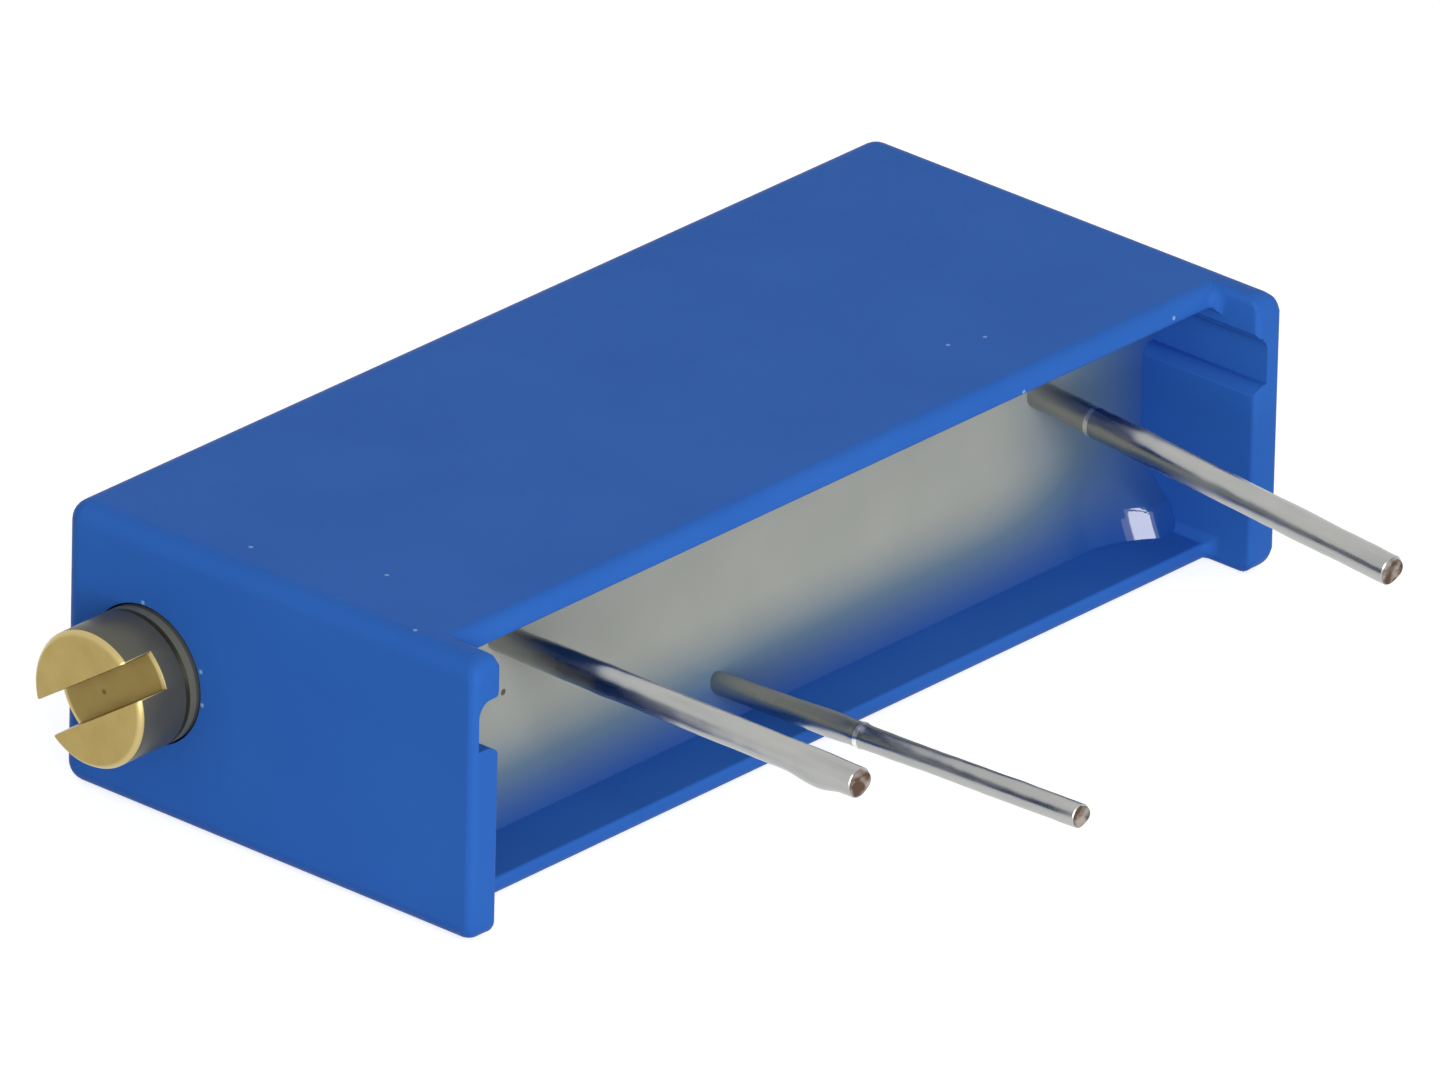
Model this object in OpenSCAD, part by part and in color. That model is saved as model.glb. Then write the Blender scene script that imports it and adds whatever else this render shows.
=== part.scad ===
// Multiturn trimmer potentiometer in a flat rectangular body, lying on a broad face.
// X runs along the body away from the adjusting screw, the pins point along -Y,
// and the origin is the middle of the broad face that the body rests on.

/* [Body] */
// Length of the moulded body
body_len = 19.05; // [18.6:0.05:22]
// Height of the body, from the feet that meet the board to the back
body_height = 8.6; // [8.3:0.05:10]
// Thickness of the body between its two broad faces
body_thick = 4.83; // [4.7:0.01:6]
// Radius of the body's long outer edges and of the corners of its feet
edge_r = 0.35; // [0.15:0.05:0.45]
// Radius of the upright edges at the feet
foot_edge_r = 0.15; // [0.05:0.01:0.25]
// Radius of the ball that rounds each corner of the feet
foot_corner_r = 0.48; // [0.36:0.01:0.55]
// Thickness of each end wall, which ends in a foot
end_wall = 0.62; // [0.55:0.01:0.9]
// Thickness of each long wall round the potting recess
skirt_wall = 0.36; // [0.25:0.01:0.45]
// Thickness of the wall behind the mechanism
back_wall = 0.62; // [0.4:0.01:0.65]
// How far the feet stand out past the edges of the long walls
standoff = 0.88; // [0.4:0.02:1.2]
// Fillet where a long wall's edge meets a foot
foot_fillet = 0.25; // [0.1:0.01:0.35]
// Radius of the long walls' outer edges at the mouth and round the feet
mouth_edge_r = 0.15; // [0.05:0.01:0.25]
// Corner radius of the potting recess
recess_r = 0.15; // [0.05:0.01:0.3]
// Width of the moulded groove inside each end wall
groove_w = 0.82; // [0.6:0.02:1]
// Depth of the groove in the wall at the screw's head
head_groove_d = 0.5; // [0.2:0.02:0.52]
// Depth of the groove in the far wall
far_groove_d = 0.25; // [0.1:0.01:0.4]
// Radius of the groove's upper shoulder
groove_shoulder_r = 0.24; // [0.05:0.01:0.3]
// Distance of the groove's middle from the upper broad face
groove_from_top = 1.1; // [0.95:0.02:1.6]

/* [Mechanism chamber] */
// Thickness of the chamber's long walls, whose step carries the ceramic plate
chamber_wall = 0.52; // [0.47:0.01:0.6]
// Depth of the moulded block that holds the screw's seal and clip
gland_len = 2.1; // [2.05:0.01:2.4]
// Thickness of the end wall that holds the screw's far bearing
bearing_wall = 1.1; // [0.9:0.01:1.5]
// Depth of the blind bearing hole
bearing_depth = 0.6; // [0.3:0.01:0.7]

/* [Adjusting screw] */
// Distance of the screw's axis from the back of the body
screw_from_back = 1.77; // [1.74:0.01:1.95]
// Diameter of the screw's head
head_d = 2.27; // [2:0.01:2.4]
// How far the head stands out of the body
head_out = 1.35; // [0.8:0.01:2]
// Chamfer round the head's face
head_chamfer = 0.1; // [0.02:0.01:0.2]
// Width of the driver slot
slot_w = 0.6; // [0.4:0.02:0.8]
// Depth of the driver slot
slot_depth = 0.64; // [0.3:0.02:0.75]
// Angle at which the slot lies, up from the body's broad face
slot_angle = 34; // [0:1:90]
// Distance from the body to the fine line turned round the head
line_out = 0.25; // [0.1:0.01:0.4]
// Depth of that line
line_depth = 0.04; // [0.02:0.01:0.06]
// Outer diameter of the lead thread
thread_d = 1.8; // [1.5:0.01:2]
// Diameter of the plain neck at each end of the thread
neck_d = 1.4; // [1.2:0.01:1.45]
// Length of each neck
neck_len = 0.3; // [0.1:0.01:0.5]
// Diameter of the journal in the far bearing
journal_d = 1; // [0.7:0.01:1.3]

/* [Seal and retainer] */
// Length of head inside the body before the seal
seal_inset = 0.45; // [0.3:0.01:0.5]
// Width of the seal groove
seal_groove_w = 0.55; // [0.52:0.01:0.65]
// Thickness of the rubber ring
ring_d = 0.44; // [0.3:0.01:0.5]
// Length of the land between the seal and the clip
land_len = 0.5; // [0.3:0.01:0.5]
// Thickness of the retaining clip's sheet
clip_t = 0.25; // [0.15:0.01:0.28]
// Diameter of the screw in the clip's groove
clip_groove_d = 1.6; // [1.4:0.01:1.7]
// Width of the clip
clip_w = 3; // [2.7:0.01:3.2]
// How far the clip's legs reach past the screw's axis
clip_reach = 0.8; // [0.3:0.02:0.95]

/* [Carriage and wiper] */
// Length of the carriage along the screw
carriage_len = 3; // [2.8:0.02:3.2]
// Height of the space between the ceramic plate and the carriage
brush_room = 1.5; // [1.3:0.01:1.55]
// Width of the split over the screw that lets the carriage spring on to the thread
split_w = 0.6; // [0.3:0.02:0.9]
// Chamfer along the carriage's edges
carriage_chamfer = 0.2; // [0.05:0.01:0.3]
// Diameter of the pegs that the wiper is staked on
peg_d = 0.4; // [0.3:0.02:0.5]
// Distance between the two pegs
peg_pitch = 1.7; // [1.5:0.02:1.9]
// Thickness of the wiper's carrier strip
carrier_t = 0.1; // [0.06:0.01:0.15]
// Length of the carrier strip
carrier_len = 2.5; // [2.4:0.02:2.7]
// Width of the carrier strip
carrier_w = 2.6; // [2.5:0.02:3]
// Number of wires in each brush
wires = 5; // [3:1:6]
// Thickness of one brush wire
wire_t = 0.08; // [0.05:0.01:0.09]
// Distance from one brush wire to the next
wire_pitch = 0.11; // [0.1:0.01:0.12]

/* [Resistance element] */
// Thickness of the ceramic plate
plate_t = 0.635; // [0.5:0.005:0.8]
// Thickness of the fired prints on the plate
print_t = 0.03; // [0.02:0.01:0.05]
// Distance from each end of the resistive track to the end pin
track_gap = 0.6; // [0.55:0.05:0.75]
// Width of the resistive track
track_w = 0.7; // [0.62:0.02:0.74]
// Distance of the resistive track's middle above the middle of the body
track_offset = 0.65; // [0.6:0.01:0.7]
// Width of the collector track
collector_w = 0.7; // [0.62:0.02:0.76]
// Distance of the collector track's middle below the middle of the body
collector_offset = 0.63; // [0.6:0.01:0.7]
// Diameter of the print round each pin
pad_d = 0.76; // [0.7:0.02:0.78]

/* [Terminals] */
// Distance of each end pin from its end of the body
pin_inset = 3.175; // [3.05:0.005:3.25]
// Distance from the first pin to the middle pin along the body
middle_pin_step = 5.08; // [4.6:0.02:6.6]
// Distance of the middle pin's row from the lower broad face
low_row = 0.93; // [0.92:0.01:1.1]
// Distance of the end pins' row from the upper broad face
high_row_drop = 1.36; // [1.2:0.01:1.45]
// Diameter of the two end pins over their solder coat
end_pin_d = 0.5; // [0.4:0.01:0.55]
// Diameter of the middle pin over its solder coat
middle_pin_d = 0.4; // [0.35:0.01:0.5]
// Thickness of the solder coat on the pins
coat_t = 0.02; // [0.01:0.005:0.04]
// Length of the first pin past the feet
pin_1_out = 5.15; // [3:0.05:8]
// Length of the middle pin past the feet
pin_2_out = 5.3; // [3:0.05:8]
// Length of the third pin past the feet
pin_3_out = 5.05; // [3:0.05:8]
// Angle at which the middle pin is bent up
pin_2_angle = 1.7; // [0:0.1:4]
// Angle at which the third pin is bent down
pin_3_angle = 5; // [0:0.1:7]
// How far the third pin sits below its row
pin_3_low = 0.08; // [0:0.01:0.12]
// Chamfer round the cut end of each pin
tip_chamfer = 0.03; // [0.01:0.01:0.06]
// Radius at which a pin is bent
pin_bend_r = 1; // [0.6:0.1:1.5]
// How far each pin stands out of the ceramic plate inside
pin_head = 0.18; // [0.1:0.01:0.25]
// Diameter of the solder at the foot of each joint
solder_d = 0.7; // [0.66:0.02:0.72]
// Height of the solder up the pin
solder_h = 0.14; // [0.08:0.01:0.16]
// Thickness of the solder at its top
solder_rim = 0.03; // [0.02:0.01:0.06]

/* [Potting resin] */
// Thickness of the resin over the ceramic plate
resin_t = 0.78; // [0.6:0.02:1.1]
// Rise of the resin where it wets the walls
meniscus = 0.28; // [0.1:0.02:0.4]
// Thickness of the wetted edge at its rim
meniscus_rim = 0.04; // [0.02:0.01:0.08]

/* [Clearances] */
// Radial clearance of the screw in its bores
run_clear = 0.03; // [0.01:0.01:0.08]
// Clearance of the carriage in the chamber
slide_clear = 0.06; // [0.02:0.01:0.12]
// Clearance round the ceramic plate
plate_clear = 0.05; // [0.02:0.01:0.1]
// Clearance of the clip in its slot and of its legs on the screw
clip_clear = 0.03; // [0.01:0.01:0.05]
// Clearance of a pin in its hole in the plate
hole_clear = 0.04; // [0.02:0.01:0.08]
// Gap between the brushes and the prints
brush_clear = 0.02; // [0.01:0.01:0.04]

/* [Hidden] */
$fn = 64;
// Overlap that lets a cut run clear through a face
eps = 0.5;
// How far a corner's ball stands out of the faces beside it, so that it only cuts the corner
ball_relief = 0.01;

// Outer faces of the body
x_head = -body_len / 2;
x_far = body_len / 2;
y_feet = -body_height / 2;
y_back = body_height / 2;
y_mouth = y_feet + standoff;
mid_z = body_thick / 2;

// Stations across the mechanism, from the back towards the feet
screw_y = y_back - screw_from_back;
y_roof = y_back - back_wall;
y_carriage = y_roof - slide_clear;
carriage_skirt = 0.46;
carriage_h = 2 * (y_carriage - screw_y) + carriage_skirt;
y_under = y_carriage - carriage_h;
y_seat = y_under - brush_room;
y_print = y_seat + print_t;
y_plate = y_seat - plate_t;
y_resin = y_plate - resin_t;
wetted = min(meniscus, y_resin - y_mouth);

// Stations along the screw, from its head
head_r = head_d / 2;
x_seal = x_head + seal_inset;
x_land = x_seal + seal_groove_w;
x_groove = x_land + land_len;
clip_groove_w = clip_t + 2 * clip_clear;
x_collar = x_groove + clip_groove_w;
x_chamber = x_head + gland_len;
collar_out = 0.2;
x_neck = x_chamber + collar_out;
x_bearing = x_far - bearing_wall;
x_journal = x_bearing + bearing_depth - slide_clear;
ring_ease = 0.01;
seal_r = head_r + run_clear - ring_d - 2 * ring_ease;

// Inside of the chamber and of the recess
chamber_w = body_thick - 2 * chamber_wall;
recess_w = body_thick - 2 * skirt_wall;
recess_len = body_len - 2 * end_wall;
groove_z = body_thick - groove_from_top;

// Pins: place along the body, height of the row, coated and bare diameter, length past
// the feet, bend
high_row = body_thick - high_row_drop;
end_pin_x = body_len / 2 - pin_inset;
pin_x = [-end_pin_x, -end_pin_x + middle_pin_step, end_pin_x];
pin_z = [high_row, low_row, high_row - pin_3_low];
pin_d = [end_pin_d, middle_pin_d, end_pin_d];
wire_d = [for (d = pin_d) d - 2 * coat_t];
pin_out = [pin_1_out, pin_2_out, pin_3_out];
pin_angle = [0, -pin_2_angle, pin_3_angle];

// Prints on the ceramic plate
track_half = end_pin_x - track_gap;
track_z = mid_z + track_offset;
collector_z = mid_z - collector_offset;

// Rectangle with round corners, made of true arcs: centred, radius ra low and rb high
module rounded_rect(w, h, ra, rb) {
    difference() {
        square([w, h], center = true);
        for (sx = [-1, 1]) {
            if (ra > 0)
                corner_cut(sx * w / 2, -h / 2, -sx, 1, ra);
            corner_cut(sx * w / 2, h / 2, -sx, -1, rb);
        }
    }
}

// What a round corner takes off a square one at x, y, whose inside lies towards dx, dy
module corner_cut(x, y, dx, dy, r, over = eps) {
    difference() {
        translate([x + dx * (r - over) / 2, y + dy * (r - over) / 2])
            square([r + over, r + over], center = true);
        translate([x + dx * r, y + dy * r])
            circle(r);
    }
}

// A profile in X and Z, extruded along Y from y_a to y_b
module along_y(y_a, y_b) {
    translate([0, y_b, 0])
        rotate([90, 0, 0])
            linear_extrude(y_b - y_a)
                children();
}

// A profile in Y and Z, extruded along X from x_a to x_b
module along_x(x_a, x_b) {
    translate([x_a, 0, 0])
        rotate([90, 0, 90])
            linear_extrude(x_b - x_a)
                children();
}

// A plain cylinder along X on the screw's axis
module on_screw_axis(x_a, x_b, r) {
    translate([x_a, screw_y, mid_z])
        rotate([0, 90, 0])
            cylinder(r = r, h = x_b - x_a);
}

// Outside of the body: three rounded profiles, one along each axis, and a ball at each corner
module body_outside() {
    difference() {
        intersection() {
            along_x(x_head, x_far)
                translate([0, mid_z])
                    rounded_rect(body_height, body_thick, edge_r, edge_r);
            linear_extrude(body_thick)
                rounded_rect(body_len, body_height, foot_edge_r, edge_r);
            along_y(y_feet, y_back)
                translate([0, mid_z])
                    rounded_rect(body_len, body_thick, edge_r, edge_r);
        }
        for (x = [x_head, x_far], z = [0, body_thick]) {
            ball_corner_cut(x, y_feet, z, foot_edge_r, foot_corner_r);
            ball_corner_cut(x, y_back, z, edge_r, edge_r);
        }
    }
}

// What a ball of radius r takes off the corner at x, y, z, whose upright edge has radius edge
module ball_corner_cut(x, y, z, edge, r) {
    inset = (r + edge * (sqrt(2) - 1) - ball_relief) / sqrt(2);
    rise = r - ball_relief;
    to_middle = [-sign(x), -sign(y), sign(mid_z - z)];
    translate([x, y, z])
        difference() {
            translate([for (i = [0:2]) to_middle[i] * ([inset, inset, rise][i] - eps) / 2])
                cube([inset + eps, inset + eps, rise + eps], center = true);
            translate([to_middle[0] * inset, to_middle[1] * inset, to_middle[2] * rise])
                sphere(r);
        }
}

// Gap that leaves the two feet standing past the long walls
module standoff_gap() {
    gap_h = standoff + eps;
    translate([0, y_mouth - gap_h / 2, -eps])
        linear_extrude(body_thick + 2 * eps)
            rounded_rect(recess_len, gap_h, 0, foot_fillet);
}

// What rounding takes off the outer edges of the standoff gap, at both broad faces
module standoff_edge_cuts() {
    arc_x = recess_len / 2 - foot_fillet;
    arc_y = y_mouth - foot_fillet;
    for (z = [0, body_thick]) {
        dz = sign(mid_z - z);
        along_x(-arc_x, arc_x)
            corner_cut(y_mouth, z, 1, dz, mouth_edge_r);
        for (side = [-1, 1]) {
            along_y(y_feet - eps, arc_y)
                corner_cut(side * recess_len / 2, z, side, dz, mouth_edge_r);
            translate([side * arc_x, arc_y, 0])
                rotate(side < 0 ? 90 : 0)
                    rotate_extrude(angle = 90)
                        corner_cut(foot_fillet, z, 1, dz, mouth_edge_r, foot_fillet / 2);
        }
    }
}

// Potting recess down to y_a, with the moulded groove in each end wall
module recess(y_a) {
    along_y(y_feet - eps, y_a) {
        translate([0, mid_z])
            rounded_rect(recess_len, recess_w, recess_r, recess_r);
        for (side = [-1, 1])
            translate([side * recess_len / 2, groove_z])
                scale([side, 1])
                    groove_profile(side < 0 ? head_groove_d : far_groove_d);
    }
}

// Groove of depth d in an end wall: a sharp lower edge and a round upper shoulder
module groove_profile(d) {
    difference() {
        translate([-recess_r, -groove_w / 2])
            square([d + recess_r, groove_w]);
        corner_cut(d, groove_w / 2, -1, -1, min(groove_shoulder_r, d));
    }
}

// Chamber for the screw and the carriage
module chamber() {
    translate([x_chamber, y_seat - eps, chamber_wall])
        cube([x_bearing - x_chamber, y_roof - y_seat + eps, chamber_w]);
}

// Slot in the gland block that the clip is pushed into from the open side
module clip_slot() {
    slot_wz = clip_w + 2 * clip_clear;
    translate([x_groove, y_seat - eps, mid_z - slot_wz / 2])
        cube([clip_groove_w, screw_y + clip_reach + clip_clear - y_seat + eps, slot_wz]);
}

module housing() {
    color([0.16, 0.35, 0.68])
        difference() {
            body_outside();
            standoff_gap();
            standoff_edge_cuts();
            recess(y_seat);
            chamber();
            clip_slot();
            on_screw_axis(x_head - eps, x_chamber + eps, head_r + run_clear);
            on_screw_axis(x_bearing - eps, x_bearing + bearing_depth, journal_d / 2 + run_clear);
        }
}

// Radius and place along X of each step of the turned screw
module screw_profile() {
    thread_r = thread_d / 2;
    neck_r = neck_d / 2;
    journal_r = journal_d / 2;
    x_tip = x_head - head_out;
    x_line = x_head - line_out;
    polygon([
        [0, x_tip],
        [head_r - head_chamfer, x_tip],
        [head_r, x_tip + head_chamfer],
        [head_r, x_line - line_depth],
        [head_r - line_depth, x_line],
        [head_r, x_line + line_depth],
        [head_r, x_seal],
        [seal_r, x_seal],
        [seal_r, x_land],
        [head_r, x_land],
        [head_r, x_groove],
        [clip_groove_d / 2, x_groove],
        [clip_groove_d / 2, x_collar],
        [head_r, x_collar],
        [head_r, x_neck],
        [neck_r, x_neck],
        [neck_r, x_neck + neck_len],
        [thread_r, x_neck + neck_len],
        [thread_r, x_bearing - neck_len],
        [neck_r, x_bearing - neck_len],
        [neck_r, x_bearing - slide_clear],
        [journal_r, x_bearing - slide_clear],
        [journal_r, x_journal],
        [0, x_journal]
    ]);
}

module adjusting_screw() {
    color([0.74, 0.63, 0.38])
        difference() {
            translate([0, screw_y, mid_z])
                rotate([0, 90, 0])
                    rotate_extrude()
                        screw_profile();
            translate([x_head - head_out, screw_y, mid_z])
                rotate([-slot_angle, 0, 0])
                    translate([-eps, -head_d, -slot_w / 2])
                        cube([slot_depth + eps, 2 * head_d, slot_w]);
        }
}

module o_ring() {
    color([0.1, 0.1, 0.1])
        translate([x_seal + seal_groove_w / 2, screw_y, mid_z])
            rotate([0, 90, 0])
                rotate_extrude()
                    translate([seal_r + ring_ease + ring_d / 2, 0])
                        circle(d = ring_d);
}

// Sheet fork whose two legs drop into the screw's groove
module retaining_clip() {
    leg_gap_r = clip_groove_d / 2 + clip_clear;
    y_low = y_seat + clip_clear;
    color([0.72, 0.72, 0.7])
        along_x(x_groove + clip_clear, x_groove + clip_clear + clip_t)
            difference() {
                translate([y_low, mid_z - clip_w / 2])
                    square([screw_y + clip_reach - y_low, clip_w]);
                translate([screw_y, mid_z])
                    circle(leg_gap_r);
                translate([screw_y, mid_z - leg_gap_r])
                    square([clip_reach + eps, 2 * leg_gap_r]);
            }
}

// Moulded block that the thread drives along the chamber
module carriage() {
    w = chamber_w - 2 * slide_clear;
    bore_r = thread_d / 2 + run_clear;
    color([0.9, 0.89, 0.84]) {
        difference() {
            along_x(-carriage_len / 2, carriage_len / 2)
                translate([y_carriage - carriage_h / 2, mid_z])
                    difference() {
                        square([carriage_h, w], center = true);
                        for (sy = [-1, 1], sz = [-1, 1])
                            translate([sy * carriage_h / 2, sz * w / 2])
                                rotate(45)
                                    square(carriage_chamfer * sqrt(2), center = true);
                    }
            on_screw_axis(-carriage_len, carriage_len, bore_r);
            translate([-carriage_len, screw_y, mid_z - split_w / 2])
                cube([2 * carriage_len, carriage_h, split_w]);
        }
        for (side = [-1, 1])
            translate([0, y_under + eps / 4, mid_z + side * peg_pitch / 2])
                rotate([90, 0, 0])
                    cylinder(d = peg_d, h = 2 * carrier_t + eps / 4);
    }
}

// Strip staked under the carriage that carries both brushes
module wiper_carrier() {
    color([0.8, 0.76, 0.55])
        difference() {
            translate([-carrier_len / 2, y_under - carrier_t, mid_z - carrier_w / 2])
                cube([carrier_len, carrier_t, carrier_w]);
            for (side = [-1, 1])
                translate([0, y_under + eps, mid_z + side * peg_pitch / 2])
                    rotate([90, 0, 0])
                        cylinder(d = peg_d, h = 2 * eps);
        }
}

// One row of spring wires that lean from the carrier down to a print at height z
module brush(z) {
    y_root = y_under - carrier_t;
    y_touch = y_print + brush_clear;
    x_root = -carrier_len / 2;
    weld = 0.5;
    rise = 0.12;
    for (i = [0:wires - 1])
        translate([0, 0, z + (i - (wires - 1) / 2) * wire_pitch - wire_t / 2])
            linear_extrude(wire_t)
                polygon([
                    [x_root, y_root],
                    [x_root, y_root - wire_t],
                    [x_root + weld, y_root - wire_t],
                    [-2 * rise, y_touch],
                    [0, y_touch],
                    [rise, y_touch + rise],
                    [rise - wire_t, y_touch + rise + wire_t],
                    [-wire_t, y_touch + wire_t],
                    [-2 * rise + wire_t / 2, y_touch + wire_t],
                    [x_root + weld + wire_t / 2, y_root]
                ]);
}

module element_brush() {
    color([0.86, 0.78, 0.5])
        brush(track_z);
}

module collector_brush() {
    color([0.86, 0.78, 0.5])
        brush(collector_z);
}

module substrate() {
    w = recess_w - 2 * plate_clear;
    len = recess_len - 2 * plate_clear;
    color([0.93, 0.92, 0.88])
        difference() {
            translate([-len / 2, y_plate, skirt_wall + plate_clear])
                cube([len, plate_t, w]);
            for (i = [0:2])
                translate([pin_x[i], y_plate - eps, pin_z[i]])
                    rotate([-90, 0, 0])
                        cylinder(d = wire_d[i] + 2 * hole_clear, h = plate_t + 2 * eps);
        }
}

// A print of the fired thickness on the plate's inner face
module print_layer() {
    along_y(y_seat, y_print)
        children();
}

module resistive_track() {
    color([0.12, 0.12, 0.12])
        print_layer()
            translate([-track_half, track_z - track_w / 2])
                square([2 * track_half, track_w]);
}

module collector_track() {
    color([0.78, 0.77, 0.74])
        print_layer()
            difference() {
                union() {
                    translate([-track_half, collector_z - collector_w / 2])
                        square([2 * track_half, collector_w]);
                    translate([pin_x[1], pin_z[1]])
                        circle(d = pad_d);
                    translate([pin_x[1] - pad_d / 4, pin_z[1]])
                        square([pad_d / 2, collector_z - pin_z[1]]);
                }
                translate([pin_x[1], pin_z[1]])
                    circle(d = wire_d[1] + 2 * hole_clear);
            }
}

// Print that joins an end of the resistive track to its pin; side is -1 or 1
module end_pad(i, side) {
    color([0.78, 0.77, 0.74])
        print_layer()
            difference() {
                union() {
                    translate([pin_x[i], pin_z[i]])
                        circle(d = pad_d);
                    translate([side * (track_half + track_gap / 2), track_z])
                        square([track_gap, track_w], center = true);
                    translate([pin_x[i] - pad_d / 4, track_z])
                        square([pad_d / 2, pin_z[i] - track_z]);
                }
                translate([pin_x[i], pin_z[i]])
                    circle(d = wire_d[i] + 2 * hole_clear);
            }
}

module end_pad_1() {
    end_pad(0, -1);
}

module end_pad_3() {
    end_pad(2, 1);
}

// Wire of pin i: straight through the plate, bent up or down inside the resin, with a
// solder coat that grows from the resin to the edges of the long walls
module pin(i) {
    bend = abs(pin_angle[i]);
    y_bend = y_plate - wire_d[i] / 4;
    y_arc = y_bend - pin_bend_r * sin(bend);
    color([0.72, 0.72, 0.7])
        translate([pin_x[i], y_bend, pin_z[i]])
            mirror([0, 0, pin_angle[i] < 0 ? 1 : 0]) {
                rotate([-90, 0, 0])
                    cylinder(d = wire_d[i], h = y_print + pin_head - y_bend);
                translate([0, 0, -pin_bend_r]) {
                    if (bend > 0)
                        rotate([0, -90, 180])
                            rotate_extrude(angle = bend)
                                translate([pin_bend_r, 0])
                                    circle(d = wire_d[i]);
                    rotate([90 + bend, 0, 0])
                        translate([0, pin_bend_r, 0])
                            rotate_extrude()
                                pin_profile(i, y_arc, cos(bend));
                }
            }
}

// Half outline of the straight stretch of pin i from y_arc on; slant is the cosine of its
// angle
module pin_profile(i, y_arc, slant) {
    bare = (y_arc - y_resin) / slant;
    coated = (y_arc - y_mouth) / slant;
    tip = (y_arc - y_feet + pin_out[i]) / slant;
    polygon([
        [0, 0],
        [wire_d[i] / 2, 0],
        [wire_d[i] / 2, bare],
        [pin_d[i] / 2, coated],
        [pin_d[i] / 2, tip - tip_chamfer],
        [pin_d[i] / 2 - tip_chamfer, tip],
        [0, tip]
    ]);
}

module pin_1() {
    pin(0);
}

module pin_2() {
    pin(1);
}

module pin_3() {
    pin(2);
}

// Solder cone between pin i and its print
module solder(i) {
    color([0.8, 0.8, 0.8])
        translate([pin_x[i], y_print, pin_z[i]])
            rotate([-90, 0, 0])
                difference() {
                    cylinder(d1 = solder_d, d2 = wire_d[i] + 2 * solder_rim, h = solder_h);
                    translate([0, 0, -eps])
                        cylinder(d = wire_d[i], h = solder_h + 2 * eps);
                }
}

module solder_1() {
    solder(0);
}

module solder_2() {
    solder(1);
}

module solder_3() {
    solder(2);
}

// Tray-shaped hollow in the resin's surface, with round edges along both directions
module resin_hollow() {
    hollow_len = recess_len - 2 * meniscus_rim;
    hollow_w = recess_w - 2 * meniscus_rim;
    depth = y_resin - y_feet + eps;
    intersection() {
        along_x(-hollow_len / 2, hollow_len / 2)
            translate([y_resin - depth / 2, mid_z])
                rotate(-90)
                    rounded_rect(hollow_w, depth, 0, wetted);
        translate([0, y_resin - depth / 2, 0])
            linear_extrude(body_thick)
                rounded_rect(hollow_len, depth, 0, wetted);
    }
}

module potting_resin() {
    y_rim = y_resin - wetted;
    color([0.62, 0.62, 0.57])
        difference() {
            intersection() {
                recess(y_plate);
                translate([x_head, y_rim, 0])
                    cube([body_len, y_plate - y_rim, body_thick]);
            }
            resin_hollow();
            for (i = [0:2])
                pin(i);
        }
}

housing();
adjusting_screw();
o_ring();
retaining_clip();
carriage();
wiper_carrier();
element_brush();
collector_brush();
substrate();
resistive_track();
collector_track();
end_pad_1();
end_pad_3();
pin_1();
pin_2();
pin_3();
solder_1();
solder_2();
solder_3();
potting_resin();
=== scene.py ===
import math
import bmesh
import bpy
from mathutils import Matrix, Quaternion, Vector


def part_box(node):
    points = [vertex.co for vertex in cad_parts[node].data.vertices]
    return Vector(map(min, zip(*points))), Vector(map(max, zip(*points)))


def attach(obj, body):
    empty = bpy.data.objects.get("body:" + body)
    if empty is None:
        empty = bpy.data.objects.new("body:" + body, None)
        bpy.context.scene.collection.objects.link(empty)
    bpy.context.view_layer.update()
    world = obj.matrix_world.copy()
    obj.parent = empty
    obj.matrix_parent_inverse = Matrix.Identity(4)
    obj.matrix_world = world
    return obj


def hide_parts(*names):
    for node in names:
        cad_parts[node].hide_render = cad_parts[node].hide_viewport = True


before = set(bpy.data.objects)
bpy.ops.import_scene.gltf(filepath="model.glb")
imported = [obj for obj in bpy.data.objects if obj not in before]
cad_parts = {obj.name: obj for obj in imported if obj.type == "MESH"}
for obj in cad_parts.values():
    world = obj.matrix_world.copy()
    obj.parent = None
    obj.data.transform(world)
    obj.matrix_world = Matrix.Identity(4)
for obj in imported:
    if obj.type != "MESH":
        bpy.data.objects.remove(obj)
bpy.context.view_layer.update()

# Millimetres to metres
MM = 0.001

# How near two places are to count as touching, to count as one coordinate in millimetres, and
# to be merged
TOUCH = 0.001 * MM
SAME_PLACE = 0.002
DOUBLES = 0.0005 * MM

# Sides of what is turned round the screw's axis
ROUND_SIDES = 96

# Camera, from the edges of the body in the photograph
CAMERA_AZIMUTH = math.radians(-49.0254)
CAMERA_ELEVATION = math.radians(25.4711)
CAMERA_ROLL = math.radians(1.37722)
CAMERA_LENS = 794.09
CAMERA_SENSOR = 36
CAMERA_DISTANCE = 497.236 * MM
LOOK_AT = Vector((0.43032, -0.55398, 2.33446)) * MM

# Light: the even white surroundings, and the large softbox before the pins, whose picture
# stands in the bead of resin
FILL = 0.47
KEY_FROM = Vector((-0.5, -0.86, 0.24)).normalized()
KEY_DISTANCE = 250 * MM
KEY_SIZE = 160 * MM
KEY_SHARE = 0.74

# Small weak lamp higher up, for glints on the metal
GLINT_FROM = Vector((-0.455, -0.544, 0.706)).normalized()
GLINT_DISTANCE = 250 * MM
GLINT_SIZE = 25 * MM
GLINT_SHARE = 0.03

# Paper under the part: its size in metres, and how white it looks by itself
PAPER_SIZE = 1.2
PAPER_GLOW = 0.76

# Body in millimetres: ends, back, thickness, feet, mouth of the recess, its ends and long
# walls, and the step that the ceramic plate lies on
END = 9.525
BACK = 4.3
THICK = 4.83
FEET = -4.3
MOUTH = -3.42
INNER_END = 8.905
LOW_WALL = 0.36
HIGH_WALL = 4.47
SEAT = -0.52

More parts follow.
